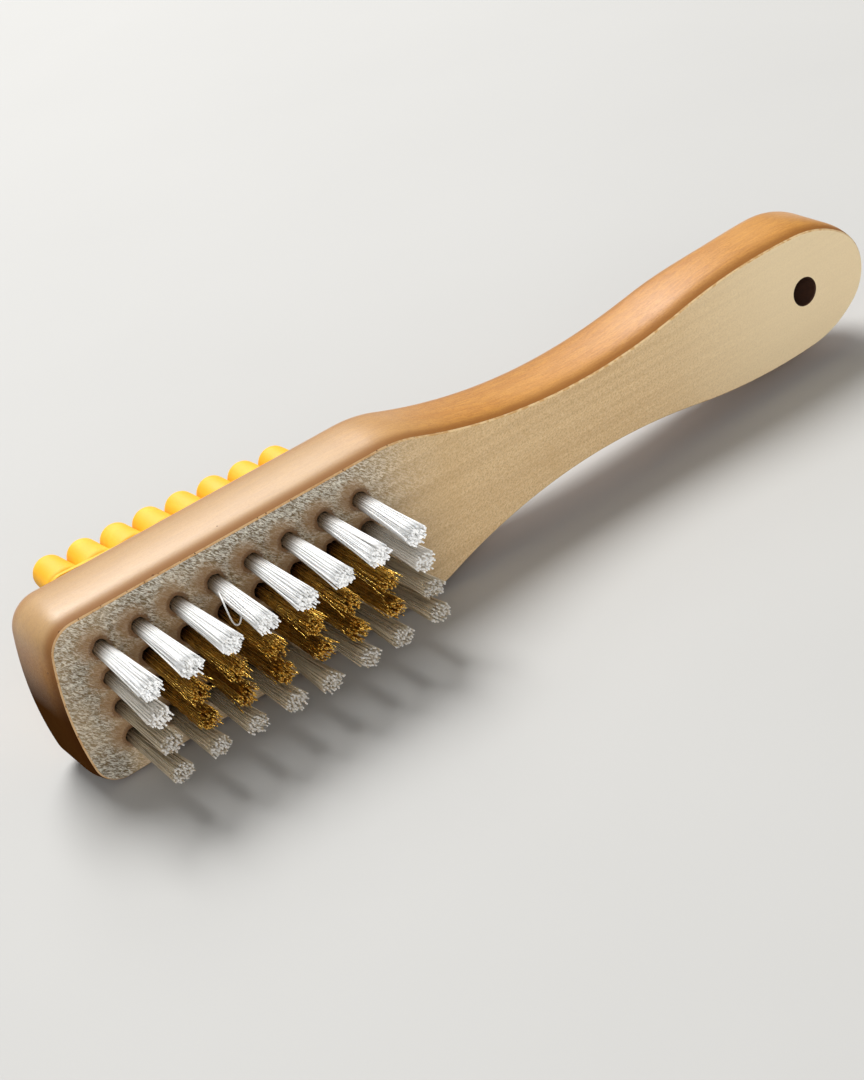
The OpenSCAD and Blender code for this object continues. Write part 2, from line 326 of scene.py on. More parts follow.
def handleOutline():
    # Upper half from head end to nose: crown, corner, straight side, shoulder, neck, grip, turn and nose.
    # Neighbouring arcs touch, so their centres lie the sum or the difference of their radii apart.
    neckHalf, gripHalf = handle["neckWidth"] / 2, handle["gripWidth"] / 2
    gripPlace = length - handle["gripToEnd"]
    crown, corner = handle["crownRadius"], handle["cornerRadius"]
    cornerY = headHalf - corner
    cornerX = crown - math.sqrt((crown - corner) ** 2 - cornerY ** 2)
    cornerTurn = math.atan2(cornerY, cornerX - crown)
    run, rise = handle["neckPlace"] - handle["headLength"], headHalf - neckHalf
    radii = (run ** 2 + rise ** 2) / (2 * rise)
    neckRadius = radii - handle["shoulderRadius"]
    neckTurn = math.atan2(run, radii - rise)
    run, rise = gripPlace - handle["neckPlace"], gripHalf - neckHalf
    gripRadius = (run ** 2 + rise ** 2) / (4 * rise)
    gripTurn = math.atan2(run, 2 * gripRadius - rise)
    side = np.array([gripPlace, gripHalf - gripRadius])
    nose = np.array([length - handle["noseRadius"], 0.0])
    reachSide, reachNose = gripRadius - handle["turnRadius"], handle["turnRadius"] - handle["noseRadius"]
    gap = np.linalg.norm(nose - side)
    along = (nose - side) / gap
    across = np.array([along[1], -along[0]])
    step = (reachSide ** 2 - reachNose ** 2 + gap ** 2) / (2 * gap)
    turnCentre = side + along * step - across * math.sqrt(reachSide ** 2 - step ** 2)
    sideEnd = math.atan2(*(turnCentre - side)[::-1])
    noseStart = math.atan2(*(nose - turnCentre)[::-1])
    straight = np.linspace(cornerX, handle["headLength"], handle["straightSteps"] + 1)[1:]
    flat = np.stack([straight, straight * 0 + headHalf, straight * 0, straight * 0 + 1], axis=1)
    quarter = math.pi / 2
    upper = np.vstack([
        [[0, 0, -1, 0]],
        arc((crown, 0), crown, math.pi, cornerTurn),
        arc((cornerX, cornerY), corner, cornerTurn, quarter),
        flat,
        arc((handle["headLength"], headHalf - handle["shoulderRadius"]), handle["shoulderRadius"],
            quarter, quarter - neckTurn),
        arc((handle["neckPlace"], neckHalf + neckRadius), neckRadius, -quarter - neckTurn, -quarter, -1.0),
        arc((handle["neckPlace"], neckHalf + gripRadius), gripRadius, -quarter, -quarter + gripTurn, -1.0),
        arc(side, gripRadius, quarter + gripTurn, sideEnd),
        arc(turnCentre, handle["turnRadius"], sideEnd, noseStart),
        arc(nose, handle["noseRadius"], noseStart, 0.0)])
    lower = upper[1:-1] * [1, -1, 1, -1]
    return np.vstack([upper[::-1], lower])


def layers(outline, insets, heights):
    # The outline repeated at each height, drawn in along its own outward direction by the inset there.
    # Insets and heights hold one value for each ring, or one for each ring and outline point.
    insets, heights = (
        np.broadcast_to(values.reshape(len(values), -1), (len(values), len(outline)))
        for values in (insets, heights))
    flat = outline[None, :, :2] - insets[:, :, None] * outline[None, :, 2:]
    return np.concatenate([flat, heights[:, :, None]], axis=2)[None]


def holeRings(places, radii, depths, sides, rough, seed):
    # Cutters: stacked circles at each place. Their radius wavers round the hole, by waves of a few lobes
    # that grow from nothing at the bottom.
    rng = np.random.default_rng(seed)
    angle = np.linspace(0, 2 * math.pi, sides, endpoint=False)
    waver = sum(
        rng.normal(0, rough, (len(places), 1)) * np.sin(lobes * angle + rng.uniform(0, 6, (len(places), 1)))
        for lobes in (2, 3, 5, 7))
    growth = np.linspace(0, 1, len(radii))[None, :, None]
    size = np.asarray(radii)[None, :, None] + waver[:, None, :] * growth
    ring = np.stack([size * np.cos(angle), size * np.sin(angle)], axis=-1)
    flat = ring + places[:, None, None, :]
    tall = np.broadcast_to(np.asarray(depths, float)[None, :, None, None], (*flat.shape[:3], 1))
    return np.concatenate([flat, tall], axis=3)


def tuftPlaces():
    # Middle of each hole by row and column, the first row farthest from the resting edge
    x = tufts["inset"] + np.arange(tufts["columns"]) * tufts["pitch"]
    y = ((tufts["rows"] - 1) / 2 - np.arange(tufts["rows"])) * tufts["rowPitch"]
    return np.stack(np.meshgrid(x, y), axis=-1)


def cutHoles(body, cutters):
    # Exact booleans, taken into a plain mesh so that no modifier is left
    helpers = []
    for name, rings in cutters:
        helper = bpy.data.objects.new(name, tubeMesh(name, rings))
        bpy.context.scene.collection.objects.link(helper)
        modifier = body.modifiers.new(name, "BOOLEAN")
        modifier.operation = "DIFFERENCE"
        modifier.solver = "EXACT"
        modifier.object = helper
        helpers.append(helper)
    bpy.context.view_layer.update()
    graph = bpy.context.evaluated_depsgraph_get()
    carved = bpy.data.meshes.new_from_object(body.evaluated_get(graph))
    body.modifiers.clear()
    body.data = carved
    for helper in helpers:
        bpy.data.objects.remove(helper)


def sideProfile(outline):
    # Inset and height of each ring from the back to the face: rounded edge, flat side, bulge and chamfer.
    # The edge is rounder at the widest part of the grip.
    bulge, chamfer = handle["sideBulge"], handle["faceChamfer"]
    fromGrip = (outline[:, 0] - handle["gripRoundPlace"]) / handle["gripRoundReach"]
    back = handle["backRadius"] + handle["gripRound"] * np.exp(-fromGrip ** 2)
    even = np.ones(len(outline))
    turn = np.linspace(math.pi / 2, 0, handle["edgeSteps"] + 1)[:, None]
    rise = (handle["sideRound"] - chamfer) * np.linspace(0, 1, handle["sideSteps"] + 1)[:, None]
    radius = (bulge ** 2 + rise[-1] ** 2) / (2 * bulge)
    insets = np.concatenate([
        back * (1 - np.cos(turn)),
        (radius - np.sqrt(radius ** 2 - rise ** 2)) * even,
        [(bulge + chamfer) * even]])
    heights = np.concatenate([
        -(thickness - back) - back * np.sin(turn), (rise - handle["sideRound"]) * even, [0 * even]])
    return insets, heights


def buildHandle():
    # The wood is built up in layers from the back to the face, and then drilled
    outline = handleOutline()
    wood = tubeMesh("handleWood", layers(outline, *sideProfile(outline)))
    piece = bpy.data.objects.new("handleWood", wood)
    bpy.context.scene.collection.objects.link(piece)
    past = handle["cutPast"]
    wide, narrow = tufts["holeRadius"], tufts["holeRadius"] - tufts["lip"]
    tuftCuts = holeRings(
        tuftPlaces().reshape(-1, 2), [wide, wide, narrow, narrow],
        [-tufts["holeDepth"], -tufts["lipDepth"], 0.0, past],
        tufts["holeSides"], rough=tufts["holeWaver"], seed=3)
    chamfer, radius = handle["hangingChamfer"], handle["hangingHole"] / 2
    wide = radius + chamfer + past
    hangCut = holeRings(
        np.array([[length - handle["hangingToEnd"], 0.0]]), [wide, radius, radius, radius, wide],
        [-thickness - past, chamfer - thickness, -thickness / 2, -chamfer, past],
        handle["hangingSides"], rough=0.0, seed=4)
    cutHoles(piece, [("tuftCuts", tuftCuts), ("hangCut", hangCut)])
    piece.data.set_sharp_from_angle(angle=math.radians(20))
    paintHandle(piece.data)
    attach(piece, "root")
    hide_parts("handle")


def faceValues(mesh, key):
    values = np.empty(len(mesh.polygons) * 3)
    mesh.polygons.foreach_get(key, values)
    return values.reshape(-1, 3)


def paintHandle(mesh):
    # One material each for the bristle face, its chamfered rim, the lacquered sides and the drilled walls,
    # chosen by where each polygon's middle lies
    skin, slack, facing = 0.02, 0.4, 0.9
    centre = faceValues(mesh, "center")
    x = (centre[:, 0] - handleLow.x) / mm
    y = (centre[:, 2] - middleZ) / mm
    depth = (centre[:, 1] - handleLow.y) / mm
    places = tuftPlaces().reshape(-1, 2)
    toTuft = np.hypot(x[:, None] - places[:, 0], y[:, None] - places[:, 1]).min(axis=1)
    toHang = np.hypot(x - (length - handle["hangingToEnd"]), y)
    isFace = (depth < skin) & (faceValues(mesh, "normal")[:, 1] < -facing)
    isDrilled = (toTuft < tufts["holeRadius"] + slack) | (toHang < handle["hangingHole"] / 2 + slack)
    isDrilled &= (depth > skin) & (depth < thickness - skin) & ~isFace
    isRim = (depth < handle["faceChamfer"]) & ~isFace & ~isDrilled
    kind = np.where(isFace, 0, np.where(isDrilled, 3, np.where(isRim, 1, 2)))
    mesh.materials.clear()
    for material in (faceWood(), rimWood(), sideWood(), drilledWood()):
        mesh.materials.append(material)
    mesh.polygons.foreach_set("material_index", kind.astype(np.int32))
    mesh.polygons.foreach_set("use_smooth", np.ones(len(mesh.polygons), bool))
    mesh.update()


# Finishes of the handle: a tint is a strength and a shade, a fade two places in millimetres, and a pair of
# shades is blended by the grain or by noise. Fades run from the head end, the resting edge, or the face or
# back of the handle.
faceLook = dict(
    grain=((230, 196, 145), (227, 192, 140)), grainScale=300.0, lines=(0.16, (168, 124, 74)), lineScale=700.0,
    scratch=(0.75, (242, 213, 167)), scratchScale=3800.0, scratchSlant=-30, scratchStretch=4.0,
    grit=(0.52, (184, 146, 97)), gritScale=2600.0, cloud=(0.25, (210, 172, 116)), cloudScale=70.0,
    grip=(0.75, (252, 230, 188)), gripFade=(125, 175), headFade=(88, 58), upperFade=(19, 27), endFade=(11, 7),
    # The silvery crinkle and its dark lines are a painted reflection over the head, placed by the fades above
    paintedSheen=((124, 108, 80), (255, 253, 242)), paintedSheenLines=(0.3, (92, 72, 48)), paintedSheenShare=0.95, shine=0.55,
    crinkleScale=3600.0, crinkleSlant=43, crinkleStretch=3.6,
    # The brown halo is a painted reflection of the tufts in the face
    paintedTuftReflection=(0.6, (126, 82, 42)), reflectionLean=1.1, reflectionReach=(6.2, 3.2), reflectionRagged=3.4,
    torn=(0.75, (116, 80, 46)), tornReach=(1.25, 0.75), tornRagged=1.4,
    reliefDepth=0.00005, reliefTorn=2.0, reliefGrit=0.6, reliefCrinkle=3.5)
rimLook = dict(
    worn=((232, 200, 150), (206, 160, 102)), wearScale=800.0, head=(0.6, (178, 134, 86)), headFade=(90, 70),
    pore=(104, 70, 40), poreScale=1700.0)
sideLook = dict(
    grain=((202, 145, 66), (186, 125, 50)), grainScale=300.0, pores=(0.36, (140, 82, 32)), poreScale=1800.0,
    grit=(0.4, (146, 88, 36)), gritScale=2600.0, cloud=(0.35, (208, 152, 80)), cloudScale=45.0,
    # upper is a painted highlight: the head's upper side tinted paler
    upper=(0.65, (182, 156, 119)), headFade=(100, 60), upperFade=(25, 34),
    # Painted shade: darker bands by the face and by the back, where the rounded side turns away
    faceEdgeShade=(0.75, (136, 84, 36)), faceFade=(3.4, 0.8),
    backEdgeShade=(0.45, (150, 90, 38)), backFade=(-5.0, -1.5),
    # The end grain is darker wood with painted shade on top, darkest low on the end
    endGrainAndShade=(0.94, (54, 28, 11)), endFade=(9, 1.5), endRise=(34, 16),
    specks=(0.7, (92, 50, 20)), speckScale=260.0,
    reliefDepth=0.00004, reliefGrain=0.4, reliefGrit=0.8, reliefCrown=-45.0)
wallLook = dict(
    # Painted shade in the deep hanging hole: two near-black browns
    paintedHoleShade=((42, 20, 8), (78, 42, 18)), holeShadeScale=900.0, bare=(176, 134, 86), headFade=(100, 90),
    reliefDepth=0.0001)


def faceWood():
    # Pale sanded wood: long grain, slanting scratches, grit and faint dark lines. Over the head a silvery
    # crinkle is painted as a reflection on a glossier, partly metallic finish, weakest low on the face and
    # round the tufts.
    look = faceLook
    material, tree, shader, position = newMaterial(
        "sandedFace", Coat_Weight=0.15, Coat_Roughness=0.35, Coat_IOR=1.5)
    along, up = axisOf(tree, position, "X"), axisOf(tree, position, "Z")
    grain = useGroup(tree, streaks, position, Stretch=(0.04, 1, 1), Scale=look["grainScale"], Sharpness=0.3)
    lines = useGroup(tree, streaks, position, Stretch=(0.015, 1, 1), Scale=look["lineScale"], Sharpness=0.08)
    lines = lines.outputs["Mask"]
    strokes = slanted(tree, position, look["scratchSlant"], look["scratchStretch"])
    scratch = noise(tree, strokes, look["scratchScale"], 2.0, 0.6)
    strokes = slanted(tree, position, look["crinkleSlant"], look["crinkleStretch"])
    crinkle = noise(tree, strokes, look["crinkleScale"], 2.5, 0.65, 0.9)
    grit = noise(tree, position, look["gritScale"], 3.0, 0.75)
    cloud = noise(tree, position, look["cloudScale"], 4.0, 0.6)
    base = blendColours(tree, grain.outputs["Mask"], *look["grain"])
    base = tint(tree, base, ramp(tree, scratch, 0.42, 0.62), *look["scratch"])
    base = tint(tree, base, ramp(tree, grit, 0.5, 0.6), *look["grit"])
    base = tint(tree, base, ramp(tree, cloud, 0.45, 0.7), *look["cloud"])
    base = tint(tree, base, lines, *look["lines"])
    base = tint(tree, base, fade(tree, along, handleLow.x, *look["gripFade"]), *look["grip"])
    # Where the painted reflection lies: over the head, stronger higher up the face and at the head end
    inHead = fade(tree, along, handleLow.x, *look["headFade"])
    upper = fade(tree, up, 0.0, *look["upperFade"])
    upper = mathNode(tree, "MAXIMUM", upper, fade(tree, along, handleLow.x, *look["endFade"]))
    paintedTuftReflection, torn = tuftReflectionAndTornRing(tree, along, up, grit)
    # Mask of the painted reflection and of the glossier, partly metallic finish under it, weaker round the
    # tufts
    glossAndPaintedSheen = product(
        tree, inHead, between(tree, upper, 0.4, 1.0), between(tree, ramp(tree, cloud, 0.35, 0.6), 0.7, 1.0),
        between(tree, paintedTuftReflection, 1.0, 0.4))
    # Painted reflection: a silvery crinkle with dark lines laid over the wood's colour
    paintedSheen = blendColours(tree, ramp(tree, crinkle, 0.4, 0.62), *look["paintedSheen"])
    paintedSheen = tint(tree, paintedSheen, lines, *look["paintedSheenLines"])
    base = tint(tree, base, glossAndPaintedSheen, look["paintedSheenShare"], paintedSheen)
    # Painted reflection of the tufts: brown smears round each hole
    base = tint(tree, base, paintedTuftReflection, *look["paintedTuftReflection"])
    base = tint(tree, base, torn, *look["torn"])
    relief = heap(tree, (torn, look["reliefTorn"]), (scratch, 1.0), (grit, look["reliefGrit"]),
                  (product(tree, crinkle, inHead), look["reliefCrinkle"]))
    feed(tree, shader, Base_Color=base, Metallic=product(tree, glossAndPaintedSheen, look["shine"]),
         Roughness=between(tree, glossAndPaintedSheen, 0.6, 0.3), Normal=bumped(tree, relief, look["reliefDepth"], 0.9))
    return material


def tuftReflectionAndTornRing(tree, along, up, ragged):
    # A brown halo, painted as the tufts' reflection in the face, and a ragged ring round each tuft hole, from
    # the distance to the nearest crossing of the tufts' grid. The painted reflection leans a little away from
    # the resting edge.
    look = faceLook
    lowest = middleZ - (tufts["rows"] - 1) / 2 * tufts["rowPitch"] * mm
    distances = []
    for lean in (0.0, look["reflectionLean"]):
        squares = []
        for value, start, step, count in (
                (along, handleLow.x + (tufts["inset"] - lean) * mm, tufts["pitch"] * mm, tufts["columns"]),
                (up, lowest + lean * mm, tufts["rowPitch"] * mm, tufts["rows"])):
            place = mathNode(tree, "DIVIDE", mathNode(tree, "SUBTRACT", value, start), step)
            nearest = mathNode(tree, "MINIMUM", mathNode(tree, "ROUND", place), count - 1)
            nearest = mathNode(tree, "MAXIMUM", nearest, 0)
            offset = product(tree, mathNode(tree, "SUBTRACT", place, nearest), step / mm)
            squares.append(product(tree, offset, offset))
        distances.append(mathNode(tree, "SQRT", mathNode(tree, "ADD", *squares)))
    outer, inner = look["tornReach"]
    ring = mathNode(tree, "MULTIPLY_ADD", ragged, look["tornRagged"], distances[0])
    paintedTuftReflection = mathNode(tree, "MULTIPLY_ADD", ragged, look["reflectionRagged"], distances[1])
    torn = ramp(tree, ring, tufts["holeRadius"] + outer, tufts["holeRadius"] + inner)
    return ramp(tree, paintedTuftReflection, *look["reflectionReach"]), torn


def rimWood():
    # The chamfer catches the sandpaper, so it is paler than either side of it
    look = rimLook
    material, tree, shader, position = newMaterial("sandedRim", Roughness=0.5, Coat_Weight=0.2)
    wear = noise(tree, position, look["wearScale"], 4.0)
    pores = useGroup(tree, specks, position, Scale=look["poreScale"], Size=0.28, Amount=0.3)
    inHead = fade(tree, axisOf(tree, position, "X"), handleLow.x, *look["headFade"])
    base = blendColours(tree, ramp(tree, wear, 0.44, 0.62), *look["worn"])
    base = tint(tree, base, inHead, *look["head"])
    base = tint(tree, base, pores.outputs["Mask"], inHead, look["pore"])
    feed(tree, shader, Base_Color=base)
    return material


def sideWood():
    # Amber lacquer over long grain: pores, few specks, a band by the face and one by the back darkened with
    # painted shade, and dark end grain with painted shade, darkest low on the end. A painted highlight pales
    # the head's upper side. The relief is crowned from face to back, which draws the highlight together along
    # the middle.
    look = sideLook
    material, tree, shader, position = newMaterial("lacqueredSide", Coat_Roughness=0.3, Coat_IOR=1.5)
    along, up, depth = (axisOf(tree, position, name) for name in "XZY")
    grain = useGroup(tree, streaks, position, Stretch=(0.05, 1, 1), Scale=look["grainScale"], Sharpness=0.3)
    pores = useGroup(tree, streaks, position, Stretch=(0.12, 1, 1), Scale=look["poreScale"], Sharpness=0.12)
    dots = useGroup(tree, specks, position, Scale=look["speckScale"], Size=0.07, Amount=0.16)
    grit = noise(tree, position, look["gritScale"], 3.0, 0.7)
    cloud = noise(tree, position, look["cloudScale"], 3.0)
    # Painted highlight on the head's upper side
    upper = product(tree, fade(tree, along, handleLow.x, *look["headFade"]),
                    fade(tree, up, 0.0, *look["upperFade"]))
    band = fade(tree, depth, handleLow.y, *look["faceFade"])
    # End grain, darkened with painted shade most low on the end; it also takes less lacquer
    endGrainAndShade = product(tree, fade(tree, along, handleLow.x, *look["endFade"]),
                       fade(tree, up, 0.0, *look["endRise"]))
    base = blendColours(tree, grain.outputs["Mask"], *look["grain"])
    base = tint(tree, base, pores.outputs["Mask"], *look["pores"])
    base = tint(tree, base, ramp(tree, grit, 0.5, 0.66), *look["grit"])
    base = tint(tree, base, ramp(tree, cloud, 0.45, 0.7), *look["cloud"])
    base = tint(tree, base, upper, *look["upper"])
    # Painted shade along the face edge and the back edge
    base = tint(tree, base, band, *look["faceEdgeShade"])
    base = tint(tree, base, fade(tree, depth, handleHigh.y, *look["backFade"]), *look["backEdgeShade"])
    base = tint(tree, base, endGrainAndShade, *look["endGrainAndShade"])
    base = tint(tree, base, dots.outputs["Mask"], *look["specks"])
    bare = mathNode(tree, "MAXIMUM", endGrainAndShade, product(tree, band, 0.85))
    coat = product(tree, between(tree, bare, 0.5, 0.0), between(tree, ramp(tree, grit, 0.42, 0.6), 1.1, 0.85))
    fromMiddle = mathNode(tree, "SUBTRACT", depth, middleY)
    fromMiddle = mathNode(tree, "DIVIDE", fromMiddle, (handleHigh.y - handleLow.y) / 2)
    relief = heap(tree, (pores.outputs["Fine"], 1.0), (grain.outputs["Fine"], look["reliefGrain"]),
                  (grit, look["reliefGrit"]), (product(tree, fromMiddle, fromMiddle), look["reliefCrown"]))
    normal = bumped(tree, relief, look["reliefDepth"], 0.6)
    feed(tree, shader, Base_Color=base, Coat_Weight=coat,
         Specular_IOR_Level=between(tree, endGrainAndShade, 0.2, 0.0),
         Roughness=between(tree, grain.outputs["Fine"], 0.38, 0.58), Normal=normal, Coat_Normal=normal)
    return material


def drilledWood():
    # Walls of the drilled holes: fresh wood in the head, and painted shade, near black, in the hanging hole
    look = wallLook
    material, tree, shader, position = newMaterial("drilledWall", Roughness=0.8)
    paintedHoleShade = noise(tree, position, look["holeShadeScale"], 4.0)
    inHead = fade(tree, axisOf(tree, position, "X"), handleLow.x, *look["headFade"])
    # Painted shade: near-black browns inside the hanging hole
    base = blendColours(tree, paintedHoleShade, *look["paintedHoleShade"])
    base = blendColours(tree, inHead, base, look["bare"])
    feed(tree, shader, Base_Color=base, Normal=bumped(tree, paintedHoleShade, look["reliefDepth"]))
    return material


buildHandle()
print("stage 2: handle shaped, drilled and finished")


# Tufts: every filament is its own tube, packed like seeds in a sunflower and fanning out to its tip
nylonTuft = dict(
    strands=110, radius=0.17, sides=6, rings=8, flare=(1.62, 1.3), bend=0.18, uneven=1.2,
    crimp=0.0, wave=4.0, rootJitter=0.02, strays=2, strayBend=0.5)
brassTuft = dict(
    strands=100, radius=0.115, sides=4, rings=26, flare=(1.5, 1.3), bend=0.24, uneven=2.6,
    crimp=0.06, wave=3.4, rootJitter=0.04, strays=5, strayBend=1.1)
core = dict(share=0.86, reach=0.9, sides=18, rings=10, grooves=9, groove=0.06)
hook = dict(
    node="nylon_tuft_1_4", rings=30, smoothing=14, along=0.8,
    points=[(33.4, 9.6, 3.0), (32.6, 10.6, 5.5), (31.7, 10.8, 8.2), (31.5, 8.5, 9.2), (31.6, 6.0, 9.4),
            (32.3, 5.1, 9.5), (33.2, 5.6, 9.6), (33.7, 7.6, 9.7)])
nylonLook = dict(
    # The lower rows' beige and the root's grey-brown are painted shade, the pale cut end and its glow painted
    # light
    tones=((254, 254, 252), (248, 246, 242)), shadedLowerRows=(220, 200, 168), root=(112, 94, 72),
    cut=(0.5, (254, 254, 252)), paintedGlow=(0.23, 0.07), clear=(0.1, 0.5))
brassLook = dict(
    tones=((255, 216, 110), (190, 138, 50)), stain=(0.5, (122, 84, 32)), stainScale=700.0,
    root=(0.9, (92, 60, 24)), tip=(0.8, (232, 184, 96)), dentScale=1800.0, reliefDepth=0.00014)


def strandPaths(kind, place, seed):
    # Centre line: the root's offset grows in step with height, plus a bend that grows with its square
    # and a small wave. Most strands end level, and a few are cut short.
    rng = np.random.default_rng(seed)
    count, cutClear, waveStart = kind["strands"], 0.03, 4
    index = np.arange(count)
    radius = (tufts["holeRadius"] * tufts["mouthShare"] - kind["radius"]) * np.sqrt((index + 0.5) / count)
    angle = index * goldenAngle + rng.uniform(0, 2 * math.pi)
    root = np.stack([radius * np.cos(angle), radius * np.sin(angle)], axis=1)
    root += rng.normal(0, kind["rootJitter"], root.shape)
    reach = tufts["length"] - cutClear - kind["uneven"] * rng.random(count) ** 2
    height = -tufts["sink"] + (reach + tufts["sink"])[:, None] * np.linspace(0, 1, kind["rings"])
    share = np.clip(height / tufts["length"], 0, 1)[..., None]
    spread = 1 + (np.array(kind["flare"]) - 1) * share
    bend = rng.normal(0, kind["bend"], (count, 1, 2))
    bend[-kind["strays"]:] += rng.normal(0, kind["strayBend"], (kind["strays"], 1, 2))
    wavePhase = rng.uniform(0, 2 * math.pi, (count, 1))
    waveAngle = rng.uniform(0, 2 * math.pi, (count, 1))
    wave = kind["crimp"] * np.sin(2 * math.pi * height / kind["wave"] + wavePhase)
    wave = np.stack([wave * np.cos(waveAngle), wave * np.sin(waveAngle)], axis=-1)
    outermost = (tufts["rows"] - 1) / 2 * tufts["rowPitch"]
    tilt = rng.normal(0, tufts["sway"], 2) - [0, tufts["gather"] * place[1] / outermost]
    flat = place + root[:, None] * spread + bend * share ** 2 + tilt * share
    flat = flat + wave * np.minimum(1, share * waveStart)
    tones = rng.random((count, 1, 1))
    return np.concatenate([flat, height[..., None]], axis=2), tones, share, tilt


def sweep(paths, radius, sides):
    # A circle carried along each path, square to the path's own direction
    forward = np.gradient(paths, axis=1)
    forward /= np.linalg.norm(forward, axis=2, keepdims=True)
    first = np.cross(np.array([0.0, 1.0, 0.0]), forward)
    first /= np.linalg.norm(first, axis=2, keepdims=True)
    second = np.cross(forward, first)
    angle = np.linspace(0, 2 * math.pi, sides, endpoint=False)[:, None]
    ring = np.cos(angle) * first[:, :, None] + np.sin(angle) * second[:, :, None]
    return paths[:, :, None] + radius * ring


def buildTuft(kind, name, row, column, material, slotName):
    # All strands of one tuft in one mesh, and for nylon the core among them
    place = tuftPlaces()[row - 1, column - 1]
    paths, tones, share, tilt = strandPaths(kind, place, 100 * row + column)
    rings = sweep(paths, kind["radius"], kind["sides"])
    shade = np.full((1, 1, 1), (row - 1) / (tufts["rows"] - 1))
    mesh = tubeMesh(name, rings, {"strandTone": tones, "alongStrand": share, "rowShade": shade})
    mesh.materials.append(material)
    addPiece(name + "_strands", mesh, slotName, name)
    if kind is nylonTuft:
        buildCore(name, place, tilt, shade, material)


def buildCore(name, place, tilt, shade, material):
    # The tight middle of a nylon bundle, where single filaments can't be told apart: grooved circles that
    # widen and lean with the strands
    share = np.linspace(-tufts["sink"] / tufts["length"], core["reach"], core["rings"])[:, None]
    radius = core["share"] * (tufts["holeRadius"] * tufts["mouthShare"] - nylonTuft["radius"])
    spread = radius * (1 + (np.array(nylonTuft["flare"]) - 1) * np.clip(share, 0, 1))
    angle = np.linspace(0, 2 * math.pi, core["sides"], endpoint=False)
    grooves = 1 + core["groove"] * np.cos(core["grooves"] * angle)
    centre = place + tilt * share
    flat = [
        centre[:, :1] + spread[:, :1] * grooves * np.cos(angle),
        centre[:, 1:] + spread[:, 1:] * grooves * np.sin(angle)]
    rings = np.stack([*flat, np.broadcast_to(share * tufts["length"], flat[0].shape)], axis=-1)[None]
    along = np.clip(share, 0, 1)[None]
    mesh = tubeMesh(name, rings, {"strandTone": np.zeros((1, 1, 1)), "alongStrand": along, "rowShade": shade})
    mesh.materials.append(material)
    addPiece(name + "_core", mesh, "nylon", name)


def buildHook(material):
    # One filament that has slipped half out of its tuft: a path through the points, smoothed by averaging
    # each with its neighbours
    time = np.linspace(0, 1, len(hook["points"]))
    fine = np.linspace(0, 1, hook["rings"])
    path = np.stack([np.interp(fine, time, axis) for axis in np.array(hook["points"]).T], axis=1)
    for _ in range(hook["smoothing"]):
        path[1:-1] = (path[:-2] + 2 * path[1:-1] + path[2:]) / 4
    rings = sweep(path[None], nylonTuft["radius"], nylonTuft["sides"])
    flat = np.zeros((1, 1, 1))
    values = {"strandTone": flat, "alongStrand": flat + hook["along"], "rowShade": flat}
    mesh = tubeMesh("hook", rings, values)
    mesh.materials.append(material)
    addPiece("hooked_strand", mesh, "nylon", hook["node"])


def nylonMaterial():
    # Milky filament with a painted glow and a paler tint on its cut end, standing for light carried along it,
    # and painted shade greying it towards its root. The lower rows are clearer, and painted shade turns them
    # a darker beige.
    look = nylonLook
    material, tree, shader, _ = newMaterial(
        "whiteNylon", Subsurface_Weight=0.4, Subsurface_Radius=(0.6, 0.55, 0.5), Subsurface_Scale=0.0012,
        IOR=1.53)
    tone = attributeValue(tree, "strandTone")
    along = attributeValue(tree, "alongStrand")
    deep = ramp(tree, attributeValue(tree, "rowShade"), 0.0, 0.7)
    cut = ramp(tree, along, 0.96, 0.998)
    base = blendColours(tree, tone, *look["tones"])
    # Painted shade: the lower rows turned to a darker beige
    base = blendColours(tree, deep, base, look["shadedLowerRows"])
    # Painted shade: grey-brown towards the root, where the head's edge shades the filament
    base = blendColours(tree, ramp(tree, along, 0.36, 0.02), base, look["root"])
    # Painted light: paler cut ends, which also glow
    base = tint(tree, base, cut, *look["cut"])
    feed(tree, shader, Base_Color=base, Roughness=between(tree, tone, 0.24, 0.44),
         Transmission_Weight=between(tree, deep, *look["clear"]),
         Emission_Strength=product(tree, cut, between(tree, deep, *look["paintedGlow"])))
    return material


def brassMaterial():
    # Drawn brass wire: each strand in its own tone, stained in places, brown at the root and paler where cut
    look = brassLook
    material, tree, shader, position = newMaterial("brassWire", Metallic=1.0)
    tone = attributeValue(tree, "strandTone")
    along = attributeValue(tree, "alongStrand")
    stain = noise(tree, position, look["stainScale"], 3.0)
    dents = noise(tree, position, look["dentScale"], 2.0)
    base = blendColours(tree, tone, *look["tones"])
    base = tint(tree, base, ramp(tree, stain, 0.48, 0.64), *look["stain"])
    base = tint(tree, base, ramp(tree, along, 0.34, 0.0), *look["root"])
    base = tint(tree, base, ramp(tree, along, 0.97, 1.0), *look["tip"])
    feed(tree, shader, Base_Color=base, Roughness=between(tree, tone, 0.16, 0.38),
         Normal=bumped(tree, dents, look["reliefDepth"], 0.9))
    return material


def buildTufts():
    nylon, brass = nylonMaterial(), brassMaterial()
    for row in range(1, tufts["rows"] + 1):
        for column in range(1, tufts["columns"] + 1):
            name = f"brass_tuft_{row}_{column}"
            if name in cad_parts:
                buildTuft(brassTuft, name, row, column, brass, "brass")
            else:
                buildTuft(nylonTuft, f"nylon_tuft_{row}_{column}", row, column, nylon, "nylon")
    buildHook(nylon)


buildTufts()
print("stage 3: tufts filled")


